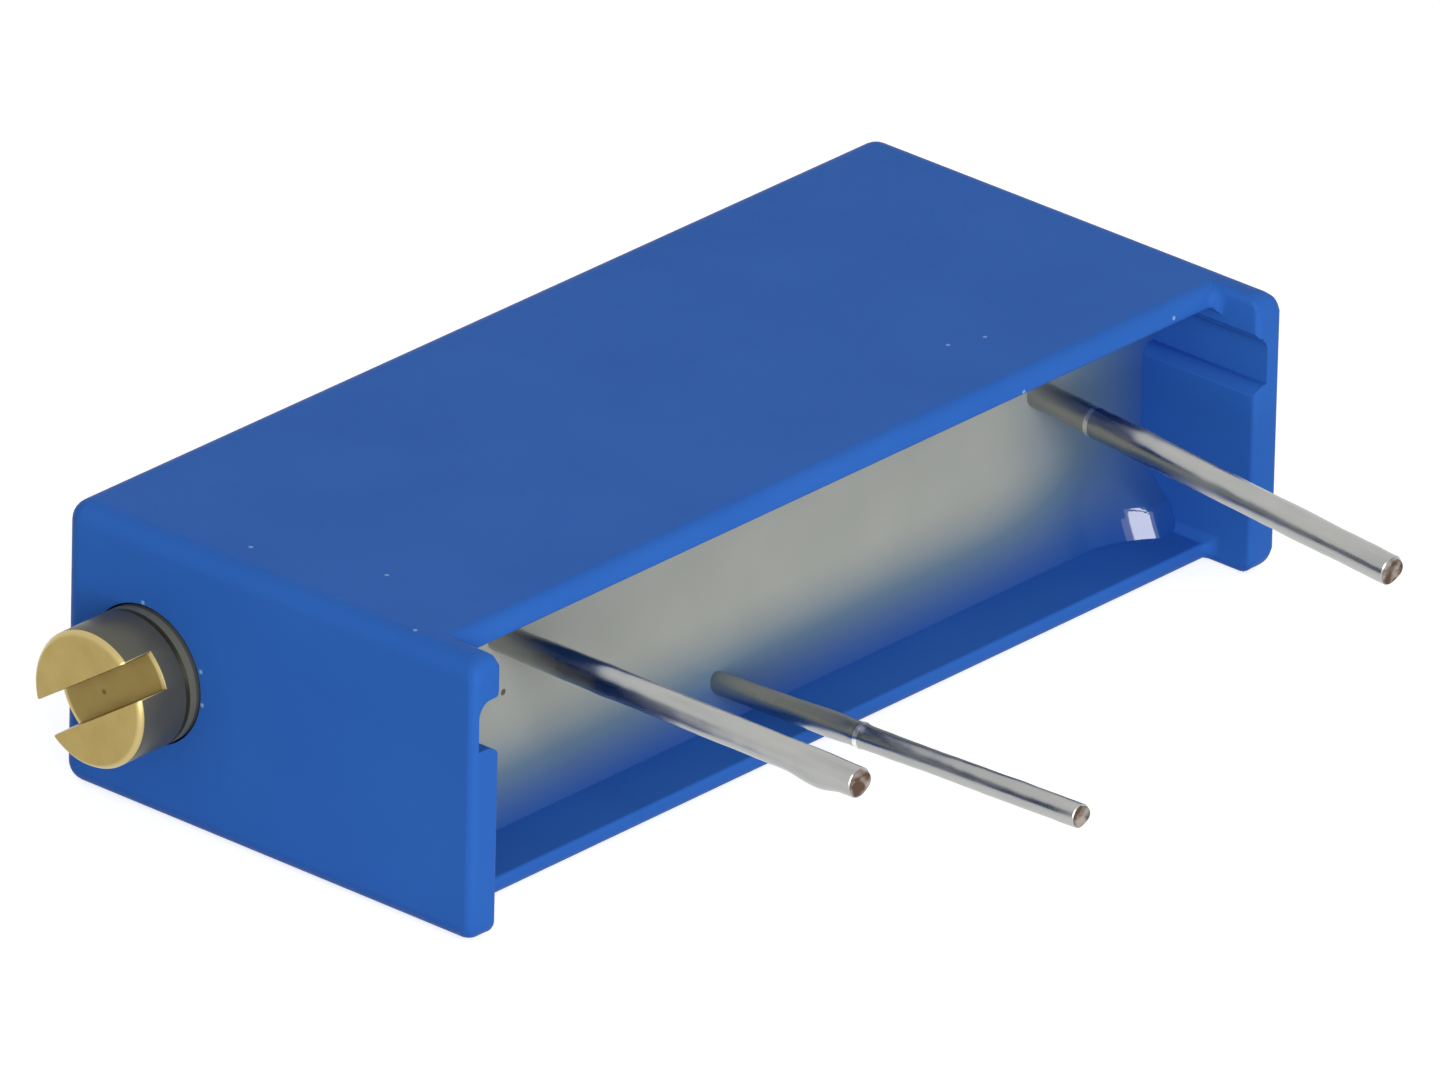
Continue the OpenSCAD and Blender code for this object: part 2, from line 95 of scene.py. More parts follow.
# Radii of the body's edges in millimetres
OUTER_EDGE = 0.35
FOOT_FILLET = 0.25
FOOT_OUTER_EDGE = 0.16
MOUTH_EDGE = 0.15
FOOT_EDGE = 0.11
INNER_EDGE = 0.06
CORE_EDGE = 0.15

# Groove in each end wall, in millimetres: its middle, half its width, its depth at either end,
# and the radii of its upper inner corner, of its upper edge and of its lower edges
GROOVE_Z = 3.73
GROOVE_HALF = 0.41
HEAD_GROOVE = 0.5
FAR_GROOVE = 0.25
GROOVE_SHOULDER = 0.24
HIGH_LEDGE = 0.15
HEAD_LOW_LEDGE = 0.34
FAR_LOW_LEDGE = 0.2

# What counts as lying by a groove: from this far out, and this far up or down from its middle
GROOVE_ZONE_X = (INNER_END - 0.1) * MM
GROOVE_ZONE_HALF = (GROOVE_HALF + 0.4) * MM

# Where the cutting tools begin in millimetres, before the feet and before the plate's step, and
# how far they stand out of the end walls
TOOL_FRONT = FEET - 1
INSIDE_FRONT = SEAT - 0.5
GROOVE_TOOL_OUT = 0.2
LEDGE_TOOL_OUT = 0.1
LEDGE_TOOL_LENGTH = 20
LEDGE_TOOL_SIDES = 64

# Hollows behind the plate in millimetres, between two corners
CHAMBER = ((-7.425, INSIDE_FRONT, 0.52), (8.425, 3.68, 4.31))
CLIP_SLOT = ((-8.025, INSIDE_FRONT, 0.885), (-7.715, 3.36, 3.945))

# Bores on the screw's axis in millimetres: radius, from, to
HEAD_BORE = (1.165, -11, -7)
BEARING = (0.53, 8, 9.025)

# Cuts of the resin's grid along and across the body
RESIN_CUTS = (240, 60)

# Levels of the resin and of the plate's outer face, and how the resin climbs the lower wall,
# the upper and the head's wall, and the low far corner: how far up, over what width
RESIN_Y = -1.935 * MM
PLATE_Y = -1.155 * MM
CLIMB_LOW = (0.35 * MM, 1.5 * MM)
CLIMB_NEAR = (0.1 * MM, 0.4 * MM)
CLIMB_CORNER = (0.5 * MM, 1.2 * MM)
CORNER_FROM = 8.4 * MM
CORNER_TOP = 0.8 * MM

# Bead in the far corner: it shines about this place, on the faces that mirror the softbox to
# the camera
BEAD = Vector((8.905, -2.2, 0.6)) * MM
BEAD_SIZE = 1.4 * MM
BEAD_FACING = Vector((-0.593, -0.731, 0.337))
BEAD_SPREAD = math.cos(math.radians(10))

# Over what height and length the resin turns darker and bluer, to the lower and to the far
# wall: partly thin resin over the blue plastic, partly painted shade and painted reflection of
# the blue walls
LOW_THIN_AND_SHADE = (0.1 * MM, 2.15 * MM)
FAR_THIN_AND_SHADE = (10.0 * MM, 4.9 * MM)

# A dark dot on the resin
DARK_DOT = Vector((-6.19, -1.935, 2.45)) * MM
DARK_DOT_SIZE = 0.055 * MM

# Screw's axis, and the face of its head
SCREW_Y = 2.53 * MM
SCREW_Z = 2.415 * MM
HEAD_FACE_X = -10.875 * MM

# Driver slot: its floor, its width and the radius of its edges in millimetres, its turn, the
# depths between which painted shade darkens it inward, and a dark spot on its floor, painted
# shade of a dimple
SLOT_FLOOR_X = HEAD_FACE_X + 0.64 * MM
SLOT_WIDTH = 0.6
SLOT_EDGE = 0.03
SLOT_TURN = math.radians(-34)
SLOT_SHADE_DEPTHS = (HEAD_FACE_X + 0.1 * MM, SLOT_FLOOR_X - 0.05 * MM)
SLOT_DIMPLE_SHADE = Vector((-10.235, 2.737, 2.283)) * MM
DIMPLE_SHADE_SIZE = 0.045 * MM

# Colours of the head: the line turned round it, a lighter band behind that line, the lighter
# rim of its face, a painted highlight on its broken edge, and from what radius its side is
# painted dark grey and less metallic, a painted dark reflection
TURNED_LINE_X = -9.775 * MM
TURNED_LINE_HALF = 0.045 * MM
LIGHTER_BAND_X = TURNED_LINE_X + 0.12 * MM
LIGHTER_BAND_HALF = 0.07 * MM
HEAD_RIM = 1.04 * MM
HEAD_RIM_FADE = 0.05 * MM
HEAD_SIDE = 1.133 * MM

# Blade that cuts the driver slot, in millimetres: before the head, and to either side
BLADE_FRONT = -12
BLADE_HALF = 2

# Radii of the screw in millimetres
HEAD_RADIUS = 1.135
SEAL_RADIUS = 0.705
CLIP_RADIUS = 0.8
NECK_RADIUS = 0.7
THREAD_RADIUS = 0.9
JOURNAL_RADIUS = 0.5

# Turned steps of the screw in millimetres, from the head's face on: place and radius
TURNED = [
    # Face of the head and its broken edge
    (-10.875, 1.035), (-10.86, 1.07), (-10.82, 1.11), (-10.775, HEAD_RADIUS),
    # Line round the head
    (-9.815, HEAD_RADIUS), (-9.775, 1.095), (-9.735, HEAD_RADIUS),
    # Groove of the seal
    (-9.075, HEAD_RADIUS), (-9.075, SEAL_RADIUS), (-8.525, SEAL_RADIUS), (-8.525, HEAD_RADIUS),
    # Groove of the clip
    (-8.025, HEAD_RADIUS), (-8.025, CLIP_RADIUS), (-7.715, CLIP_RADIUS), (-7.715, HEAD_RADIUS),
    # Neck and thread
    (-7.225, HEAD_RADIUS), (-7.225, NECK_RADIUS), (-6.925, NECK_RADIUS),
    (-6.925, THREAD_RADIUS), (8.125, THREAD_RADIUS),
    # Neck and the journal in its bearing
    (8.125, NECK_RADIUS), (8.365, NECK_RADIUS), (8.365, JOURNAL_RADIUS), (8.965, JOURNAL_RADIUS),
]

# Wires: sides of a ring, spacing of the rings, radius and rings of the bend
WIRE_SIDES = 36
RING_STEP = 0.09 * MM
BEND_RADIUS = 1 * MM
BEND_RINGS = 6

# Cut end of a wire: its tilt, how much of the wire that takes, length and taper of its rim, the
# solder's share of its radius, how far the copper lies off its middle, and how squarely a face
# looks along the wire to count as cut
SHEAR_TILT = math.radians(14)
SHEAR_ROOM = 1.2
RIM_LENGTH = 0.07
RIM_TAPER = 0.93
CORE_INSET = 0.15
CORE_SHIFT = Vector((0.015, 0, 0.015)) * MM
CUT_FACING = 0.8

# A drop of solder under a wire: how far it hangs, what hangs all the way, and what follows
DRIP = 0.075 * MM
DRIP_CORE = 0.13 * MM
DRIP_REACH = 0.5 * MM

# Uneven coat of solder: size and height of its swells
SWELL_SIZE = 0.35 * MM
SWELL_HEIGHT = 0.014 * MM

# Leads: name, solid, and in millimetres the height of the row and the radius bare and coated;
# the lean in degrees; lumps of solder, in millimetres where, how high and half as long as they
# reach; and in millimetres where a drop hangs
LEADS = [
    (
        "first_lead", "pin_1", 3.47, (0.23, 0.25), 0,
        [(-4.2, 0.008, 0.2), (-8.6, 0.01, 0.4)], -8.6,
    ),
    (
        "middle_lead", "pin_2", 0.93, (0.18, 0.2), 1.7,
        [(-4.4, 0.016, 0.4), (-5.04, 0.022, 0.07), (-6.5, -0.008, 1)], None,
    ),
    (
        "third_lead", "pin_3", 3.39, (0.23, 0.25), -5,
        [(-3.17, 0.022, 0.05), (-4.1, 0.01, 0.2), (-7.4, 0.008, 0.5)], None,
    ),
]

# Finishes of the solids inside: name, two near tones, size of their patches in millimetres,
# metallic, roughness from and to, height of the relief in millimetres, and the solids
INSIDE = [
    # Moulded silicone rubber: near black and dull
    ("silicone_rubber", ("#1B1B1B", "#242424"), 0.2, 0, (0.5, 0.6), 0.002, ["o_ring"]),
    # Spring steel stamped from bright strip: light grey metal, evenly smooth
    (
        "stamped_spring_steel", ("#A9A8A4", "#C4C3BE"), 0.3, 1, (0.25, 0.35), 0.001,
        ["retaining_clip"],
    ),
    # Undyed nylon from a mould: milky and half dull
    ("moulded_nylon", ("#E2DFD2", "#EBE8DD"), 0.6, 0, (0.45, 0.55), 0.002, ["carriage"]),
    # Rolled spring strip of a gold-coloured alloy: pale and bright
    (
        "gold_coloured_spring_alloy", ("#C9B070", "#DDC684"), 0.3, 1, (0.2, 0.3), 0.001,
        ["wiper_carrier", "element_brush", "collector_brush"],
    ),
    # Fired alumina: off-white, dull and faintly grainy
    ("fired_alumina", ("#E8E6DC", "#F1EFE7"), 0.3, 0, (0.6, 0.75), 0.003, ["substrate"]),
    # Printed and fired resistive ink: black and dull
    (
        "fired_resistive_ink", ("#1C1C1C", "#2A2A29"), 0.1, 0, (0.55, 0.7), 0.003,
        ["resistive_track"],
    ),
    # Printed and fired silver: grey metal, dulled by its grain
    (
        "fired_silver_print", ("#BDBBB3", "#CFCDC6"), 0.12, 1, (0.4, 0.55), 0.003,
        ["collector_track", "end_pad_1", "end_pad_3"],
    ),
    # Solder that froze as it flowed: the brightest metal inside
    (
        "bright_solder", ("#BEBEBB", "#D2D2CF"), 0.2, 1, (0.15, 0.3), 0.004,
        ["solder_1", "solder_2", "solder_3"],
    ),
]

# Sockets of a colour mix
MIX_FACTOR, MIX_A, MIX_B = 0, 6, 7


def colour(code):
    """Linear red, green, blue and alpha of an sRGB hex code."""
    shares = [int(code[i : i + 2], 16) / 255 for i in (1, 3, 5)]
    linear = [s / 12.92 if s <= 0.04045 else ((s + 0.055) / 1.055) ** 2.4 for s in shares]
    return (*linear, 1)


def plug(tree, made, sockets):
    """Fills a node's sockets, each with a value, an output, or another node's first output."""
    for name, value in sockets.items():
        if isinstance(value, bpy.types.Node):
            value = next(out for out in value.outputs if out.enabled)
        if isinstance(value, bpy.types.NodeSocket):
            tree.links.new(value, made.inputs[name])
        else:
            made.inputs[name].default_value = value
    return made


def add(tree, kind, sockets=None, **settings):
    """Adds a node with its settings and what its sockets take."""
    made = tree.nodes.new(kind)
    for name, value in settings.items():
        setattr(made, name, value)
    return plug(tree, made, sockets or {})


def finish_of(name, metallic=0.0, roughness=0.5, specular=0.5):
    """A new material, its tree, its shader and the place on the piece in metres."""
    made = bpy.data.materials.new(name)
    made.use_nodes = True
    tree = made.node_tree
    shader = tree.nodes["Principled BSDF"]
    own = {"Metallic": metallic, "Roughness": roughness, "Specular IOR Level": specular}
    plug(tree, shader, own)
    place = add(tree, "ShaderNodeTexCoord").outputs["Object"]
    return made, tree, shader, place


# Pale nicks on the body's upper face and by the hole of the screw's head, and two painted
# glints on the upper wall's mouth edge
NICKS_AND_GLINTS = [
    Vector((-8.77, 1.05, 4.83)) * MM,
    Vector((-8.05, -1.13, 4.83)) * MM,
    Vector((-9.2, -2.76, 4.83)) * MM,
    Vector((4.29, -1.84, 4.83)) * MM,
    Vector((4.92, -2.06, 4.83)) * MM,
    Vector((-9.35, -1.33, 4.83)) * MM,
    # Two painted glints on the upper wall's mouth edge
    Vector((4.30, -3.42, 4.53)) * MM,
    Vector((7.89, -3.42, 4.60)) * MM,
    Vector((-9.525, 1.37, 2.84)) * MM,
    Vector((-9.525, 1.33, 2.28)) * MM,
    Vector((-9.525, 2.6, 3.62)) * MM,
]
NICK_AND_GLINT_SIZE = 0.045 * MM


def moulded_pbt():
    """Blue glass-filled PBT from a spark-eroded mould: an even satin skin, a faint mottle
    where the melt flowed, pale nicks from handling, and two painted glints on the mouth's edge."""
    made, tree, shader, place = finish_of("moulded_pbt", specular=0.03)
    flow = add(tree, "ShaderNodeTexNoise", {"Vector": place, "Scale": 1 / (2.5 * MM)})
    skin = {MIX_FACTOR: flow, MIX_A: colour("#2D65BD"), MIX_B: colour("#356EC7")}
    tone = add(tree, "ShaderNodeMix", skin, data_type="RGBA")
    # Pale nicks, and two painted glints, drawn lighter on the skin
    for spot in NICKS_AND_GLINTS:
        gap = add(tree, "ShaderNodeVectorMath", {0: place, 1: spot}, operation="DISTANCE")
        reach = {"Value": gap.outputs["Value"], "From Min": NICK_AND_GLINT_SIZE, "From Max": NICK_AND_GLINT_SIZE / 2}
        mark = {MIX_FACTOR: add(tree, "ShaderNodeMapRange", reach), MIX_A: tone}
        mark[MIX_B] = colour("#8FB0E2")
        tone = add(tree, "ShaderNodeMix", mark, data_type="RGBA")
    # The eroded skin's real grain is about 0.03 mm, too fine to show, so it is drawn coarser
    grain = add(tree, "ShaderNodeTexNoise", {"Vector": place, "Scale": 1 / (0.12 * MM), "Detail": 2})
    gloss = {"Value": grain, "From Min": 0.3, "From Max": 0.7, "To Min": 0.36, "To Max": 0.46}
    relief = {"Height": grain, "Distance": 0.0015 * MM}
    plug(tree, shader, {
        "Base Color": tone,
        "Roughness": add(tree, "ShaderNodeMapRange", gloss),
        "Normal": add(tree, "ShaderNodeBump", relief),
    })
    return made


def turned_brass():
    """Free-cutting brass off the lathe: rings of the tool round the screw's axis, an uneven
    tarnish, a lighter rim painted as a highlight, painted shade deeper in the driver slot and on
    a dimple in its floor, and the head's side painted dark grey and less metallic as a painted
    dark reflection."""
    made, tree, shader, place = finish_of("turned_brass")
    axis = {"Vector": place, "Location": (0, -SCREW_Y, -SCREW_Z), "Scale": (0, 1, 1)}
    centred = add(tree, "ShaderNodeMapping", axis)
    # The tool's feed is about 0.03 mm, drawn at twice that to show
    feed = {"Vector": centred, "Scale": 0.05 / (0.06 * MM), "Distortion": 0.6}
    rings = add(tree, "ShaderNodeTexWave", feed, wave_type="RINGS", rings_direction="X")
    tarnish = add(tree, "ShaderNodeTexNoise", {"Vector": place, "Scale": 1 / (0.5 * MM), "Detail": 4})
    depth = add(tree, "ShaderNodeSeparateXYZ", {"Vector": place}).outputs["X"]
    # Painted shade: the brass drawn darker deeper in the driver slot
    sunk = {"Value": depth, "From Min": SLOT_SHADE_DEPTHS[0], "From Max": SLOT_SHADE_DEPTHS[1]}
    around = add(tree, "ShaderNodeVectorMath", {0: centred}, operation="LENGTH").outputs["Value"]
    # Painted highlight: the rim of the head's face drawn lighter
    rim_highlight = {"Value": around, "From Min": HEAD_RIM, "From Max": HEAD_RIM + HEAD_RIM_FADE}
    # The head's side painted dark grey, a painted dark reflection
    painted_dark_side = add(tree, "ShaderNodeMath", {0: around, 1: HEAD_SIDE}, operation="GREATER_THAN")
    line = {0: depth, 1: TURNED_LINE_X, 2: TURNED_LINE_HALF}
    # A lighter band behind the turned line
    lighter_band = {0: depth, 1: LIGHTER_BAND_X, 2: LIGHTER_BAND_HALF}
    # Painted shade of a dimple: a dark spot on the slot's floor
    dimple_gap = add(tree, "ShaderNodeVectorMath", {0: place, 1: SLOT_DIMPLE_SHADE}, operation="DISTANCE")
    in_dimple_shade = {0: dimple_gap.outputs["Value"], 1: DIMPLE_SHADE_SIZE}
    tone = colour("#97834A")
    for mask, code in (
        (tarnish, "#B8A46A"),
        (add(tree, "ShaderNodeMapRange", sunk), "#8A7745"),
        (add(tree, "ShaderNodeMapRange", rim_highlight), "#C6B37A"),
        (painted_dark_side, "#545349"),
        (add(tree, "ShaderNodeMath", lighter_band, operation="COMPARE"), "#77745F"),
        (add(tree, "ShaderNodeMath", line, operation="COMPARE"), "#2B2A22"),
        (add(tree, "ShaderNodeMath", in_dimple_shade, operation="LESS_THAN"), "#66572F"),
    ):
        layer = {MIX_FACTOR: mask, MIX_A: tone, MIX_B: colour(code)}
        tone = add(tree, "ShaderNodeMix", layer, data_type="RGBA")
    gloss = {"Value": tarnish, "From Min": 0.3, "From Max": 0.7, "To Min": 0.3, "To Max": 0.42}
    relief = {"Height": rings, "Distance": 0.002 * MM}
    plug(tree, shader, {
        "Base Color": tone,
        # Where the side is painted dark it is also made less metallic
        "Metallic": add(tree, "ShaderNodeMapRange", {"Value": painted_dark_side, "To Min": 1, "To Max": 0.25}),
        "Roughness": add(tree, "ShaderNodeMapRange", gloss),
        "Normal": add(tree, "ShaderNodeBump", relief),
    })
    return made


# Painted highlights: bright rings on the middle and third wires, at the ridges where the solder
# froze at the edge of the bath
RING_HIGHLIGHTS = [Vector((-1.27, -5.07, 1.04)) * MM, Vector((6.35, -3.165, 3.22)) * MM]
RING_REACH = 0.3 * MM
RING_HALF = 0.04 * MM


def solder_dipped_wire():
    """Copper wire dipped in tin-lead solder: grey metal, brighter and duller by turns where
    the solder ran along the wire and froze, with painted highlight rings at two ridges."""
    made, tree, shader, place = finish_of("solder_dipped_wire", metallic=1.0)
    along = add(tree, "ShaderNodeMapping", {"Vector": place, "Scale": (1, 0.15, 1)})
    runs = add(tree, "ShaderNodeTexNoise", {"Vector": along, "Scale": 1 / (0.25 * MM), "Detail": 3})
    skin = {MIX_FACTOR: runs, MIX_A: colour("#989A99"), MIX_B: colour("#C4C4BF")}
    tone = add(tree, "ShaderNodeMix", skin, data_type="RGBA")
    level = add(tree, "ShaderNodeSeparateXYZ", {"Vector": place}).outputs["Y"]
    # Near-white painted highlight rings round two ridges of the solder
    for ring in RING_HIGHLIGHTS:
        gap = add(tree, "ShaderNodeVectorMath", {0: place, 1: ring}, operation="DISTANCE")
        reach = {0: gap.outputs["Value"], 1: RING_REACH}
        near = add(tree, "ShaderNodeMath", reach, operation="LESS_THAN")
        at_ring = add(tree, "ShaderNodeMath", {0: level, 1: ring.y, 2: RING_HALF}, operation="COMPARE")
        bright = add(tree, "ShaderNodeMath", {0: near, 1: at_ring}, operation="MULTIPLY")
        layer = {MIX_FACTOR: bright, MIX_A: tone, MIX_B: colour("#F2F2EE")}
        tone = add(tree, "ShaderNodeMix", layer, data_type="RGBA")
    gloss = {"Value": runs, "From Min": 0.35, "From Max": 0.65, "To Min": 0.2, "To Max": 0.4}
    relief = {"Height": runs, "Distance": 0.003 * MM}
    plug(tree, shader, {
        "Base Color": tone,
        "Roughness": add(tree, "ShaderNodeMapRange", gloss),
        "Normal": add(tree, "ShaderNodeBump", relief),
    })
    return made


def sheared_copper():
    """Copper core bared where the wire was cut off: brown, and smeared by the cutter."""
    made, tree, shader, place = finish_of("sheared_copper", metallic=1.0)
    smear = add(tree, "ShaderNodeTexNoise", {"Vector": place, "Scale": 1 / (0.22 * MM), "Detail": 4})
    ragged = add(tree, "ShaderNodeMapRange", {"Value": smear, "From Min": 0.42, "From Max": 0.6})
    skin = {MIX_FACTOR: ragged, MIX_A: colour("#5E4A3E"), MIX_B: colour("#A39C94")}
    gloss = {"Value": smear, "From Min": 0.3, "From Max": 0.7, "To Min": 0.4, "To Max": 0.6}
    relief = {"Height": smear, "Distance": 0.02 * MM}
    plug(tree, shader, {
        "Base Color": add(tree, "ShaderNodeMix", skin, data_type="RGBA"),
        "Roughness": add(tree, "ShaderNodeMapRange", gloss),
        "Normal": add(tree, "ShaderNodeBump", relief),
    })
    return made


def cast_epoxy(name, roughness, specular):
    """Beige-grey potting epoxy, cast and cured in place: smooth and cloudy, and darker and bluer
    towards the lower and the far wall, partly as thin resin over the blue plastic and partly as
    painted shade and painted reflection of the blue walls. The bead in the far corner takes it
    glossier than the rest."""
    made, tree, shader, place = finish_of(name, roughness=roughness, specular=specular)
    axes = add(tree, "ShaderNodeSeparateXYZ", {"Vector": place}).outputs
    low = {"Value": axes["Z"], "From Min": LOW_THIN_AND_SHADE[0], "From Max": LOW_THIN_AND_SHADE[1]}
    from_low = add(tree, "ShaderNodeMapRange", low, interpolation_type="SMOOTHSTEP")
    far = {"Value": axes["X"], "From Min": FAR_THIN_AND_SHADE[0], "From Max": FAR_THIN_AND_SHADE[1]}
    from_far = add(tree, "ShaderNodeMapRange", far, interpolation_type="SMOOTHSTEP")
    thick_and_unshaded = add(tree, "ShaderNodeMath", {0: from_low, 1: from_far}, operation="MULTIPLY")
    cloud = add(tree, "ShaderNodeTexNoise", {"Vector": place, "Scale": 1 / (1.5 * MM)})
    # A dark dot on the resin
    dark_dot_gap = add(tree, "ShaderNodeVectorMath", {0: place, 1: DARK_DOT}, operation="DISTANCE")
    dot = {0: dark_dot_gap.outputs["Value"], 1: DARK_DOT_SIZE}
    thinner_and_shaded = {"Value": thick_and_unshaded, "From Min": 1, "From Max": 0.5}
    thinnest_and_shaded = {"Value": thick_and_unshaded, "From Min": 0.5, "From Max": 0}
    # Towards the lower and far wall darker and bluer: partly thin resin over the blue plastic, partly
    # painted shade and painted reflection of the blue walls
    tone = colour("#A0A39B")
    for mask, code in (
        (cloud, "#ADAFA7"),
        (add(tree, "ShaderNodeMapRange", thinner_and_shaded), "#637B90"),
        (add(tree, "ShaderNodeMapRange", thinnest_and_shaded), "#1A4C9C"),
        (add(tree, "ShaderNodeMath", dot, operation="LESS_THAN"), "#5C5C4E"),
    ):
        layer = {MIX_FACTOR: mask, MIX_A: tone, MIX_B: colour(code)}
        tone = add(tree, "ShaderNodeMix", layer, data_type="RGBA")
    waves = add(tree, "ShaderNodeTexNoise", {"Vector": place, "Scale": 1 / (2.0 * MM), "Detail": 1})
    relief = {"Height": waves, "Distance": 0.008 * MM}
    plug(tree, shader, {"Base Color": tone, "Normal": add(tree, "ShaderNodeBump", relief)})
    return made


def plain_finish(name, codes, size, metallic, roughness, relief):
    """A material of two near tones in patches of that size, with a fine relief."""
    made, tree, shader, place = finish_of(name, metallic)
    patches = add(tree, "ShaderNodeTexNoise", {"Vector": place, "Scale": 1 / size, "Detail": 3})
    tones = {MIX_FACTOR: patches, MIX_A: colour(codes[0]), MIX_B: colour(codes[1])}
    gloss = {"Value": patches, "From Min": 0.3, "From Max": 0.7}
    gloss.update({"To Min": roughness[0], "To Max": roughness[1]})
    plug(tree, shader, {
        "Base Color": add(tree, "ShaderNodeMix", tones, data_type="RGBA"),
        "Roughness": add(tree, "ShaderNodeMapRange", gloss),
        "Normal": add(tree, "ShaderNodeBump", {"Height": patches, "Distance": relief}),
    })
    return made


def aim_camera():
    """Camera on the photograph's line of sight, far off with a long lens."""
    level = math.cos(CAMERA_ELEVATION)
    aside = math.sin(CAMERA_AZIMUTH) * level
    before = -math.cos(CAMERA_AZIMUTH) * level
    back = Vector((aside, before, math.sin(CAMERA_ELEVATION)))
    bpy.ops.object.camera_add(location=LOOK_AT + back * CAMERA_DISTANCE)
    camera = bpy.context.object
    camera.data.lens = CAMERA_LENS
    camera.data.sensor_width = CAMERA_SENSOR
    camera.rotation_mode = "QUATERNION"
    turned = Quaternion((0, 0, 1), CAMERA_ROLL)
    camera.rotation_quaternion = (-back).to_track_quat("-Z", "Y") @ turned
    bpy.context.scene.camera = camera


def seen_rays(tree):
    """1 for rays that show the background: straight, mirrored or through glass."""
    path = add(tree, "ShaderNodeLightPath").outputs
    pair = {0: path["Is Glossy Ray"], 1: path["Is Transmission Ray"]}
    mirrored = add(tree, "ShaderNodeMath", pair, operation="MAXIMUM")
    return add(tree, "ShaderNodeMath", {0: path["Is Camera Ray"], 1: mirrored}, operation="MAXIMUM")


def hang_lamp(name, direction, distance, size, share):
    """A square lamp aimed at the part, as bright there as that share of a plain white sky."""
    bpy.ops.object.light_add(type="AREA", location=LOOK_AT + direction * distance)
    lamp = bpy.context.object
    lamp.name = name
    lamp.data.size = size
    lamp.data.energy = share * math.pi**2 * distance**2
    lamp.rotation_mode = "QUATERNION"
    lamp.rotation_quaternion = (-direction).to_track_quat("-Z", "Y")


def light_studio():
    """White surroundings that light the part evenly, a large softbox and a small lamp."""
    scene = bpy.context.scene
    scene.world = bpy.data.worlds.new("white_studio")
    scene.world.use_nodes = True
    tree = scene.world.node_tree
    strength = {"Value": seen_rays(tree), "To Min": FILL, "To Max": 1.0}
    sky = {"Color": colour("#FFFFFF"), "Strength": add(tree, "ShaderNodeMapRange", strength)}
    plug(tree, tree.nodes["Background"], sky)
    hang_lamp("softbox", KEY_FROM, KEY_DISTANCE, KEY_SIZE, KEY_SHARE)
    hang_lamp("small_lamp", GLINT_FROM, GLINT_DISTANCE, GLINT_SIZE, GLINT_SHARE)


def lay_floor():
    """Pale paper that the part lies on; it looks white and keeps the shadow."""
    bpy.ops.mesh.primitive_plane_add(size=PAPER_SIZE)
    floor = bpy.context.object
    floor.name = "floor"
    made = bpy.data.materials.new("white_paper")
    made.use_nodes = True
    tree = made.node_tree
    paper = add(tree, "ShaderNodeBsdfDiffuse", {"Color": colour("#CCCCCC")})
    glow = {0: seen_rays(tree), 1: PAPER_GLOW}
    strength = add(tree, "ShaderNodeMath", glow, operation="MULTIPLY")
    shine = add(tree, "ShaderNodeEmission", {"Strength": strength})
    both = add(tree, "ShaderNodeAddShader", {0: paper, 1: shine})
    plug(tree, tree.nodes["Material Output"], {"Surface": both})
    floor.data.materials.append(made)


def edit(piece):
    """Opens one piece for modelling, with all of it selected, and gives its mesh."""
    bpy.ops.object.select_all(action="DESELECT")
    piece.select_set(True)
    bpy.context.view_layer.objects.active = piece
    bpy.ops.object.mode_set(mode="EDIT")
    bpy.ops.mesh.select_all(action="SELECT")
    return bmesh.from_edit_mesh(piece.data)


def select_edges(shape, wanted):
    """Selects only the edges that the test wants."""
    bpy.ops.mesh.select_mode(type="EDGE")
    bpy.ops.mesh.select_all(action="DESELECT")
    for edge in shape.edges:
        if wanted(edge):
            edge.select_set(True)
    shape.select_flush_mode()


def close(piece, angle):
    """Merges doubles, turns the faces outwards and smooths all but the sharp edges."""
    bpy.ops.mesh.select_all(action="SELECT")
    bpy.ops.mesh.remove_doubles(threshold=DOUBLES)
    bpy.ops.mesh.normals_make_consistent(inside=False)
    bpy.ops.object.mode_set(mode="OBJECT")
    bpy.ops.object.shade_smooth_by_angle(angle=math.radians(angle))


def is_sharp(edge, angle):
    """Whether the two faces at an edge turn by more than that angle in degrees."""
    return len(edge.link_faces) == 2 and edge.calc_face_angle(0) > math.radians(angle)


def block(name, low, high):
    """A box between two corners in millimetres, its object at the origin."""
    low, high = Vector(low) * MM, Vector(high) * MM
    bpy.ops.mesh.primitive_cube_add(size=1, location=(low + high) / 2)
    piece = bpy.context.object
    piece.name = name
    piece.scale = high - low
    bpy.ops.object.transform_apply(location=True, rotation=True, scale=True)
    return piece


def rod(name, radius, x_from, x_to):
    """A plain rod along the screw's axis, in millimetres."""
    bpy.ops.mesh.primitive_cylinder_add(
        vertices=ROUND_SIDES, radius=radius * MM, depth=(x_to - x_from) * MM,
        location=((x_from + x_to) / 2 * MM, SCREW_Y, SCREW_Z), rotation=(0, math.radians(90), 0),
    )
    piece = bpy.context.object
    piece.name = name
    bpy.ops.object.transform_apply(location=True, rotation=True, scale=True)
    return piece


def lies(edge, **at):
    """Whether both ends of an edge lie at the given x, y or z in millimetres; x counts alike at
    either end of the body."""
    ends = [v.co / MM for v in edge.verts]
    return all(
        abs((abs(p.x) if axis == "x" else getattr(p, axis)) - value) < SAME_PLACE
        for p in ends
        for axis, value in at.items()
    )


def rounded(piece, radius, segments, wanted):
    """Rounds the wanted edges of a piece."""
    shape = edit(piece)
    select_edges(shape, wanted)
    bpy.ops.mesh.bevel(offset=radius * MM, segments=segments, affect="EDGES", clamp_overlap=False)
    bpy.ops.object.mode_set(mode="OBJECT")
    return piece


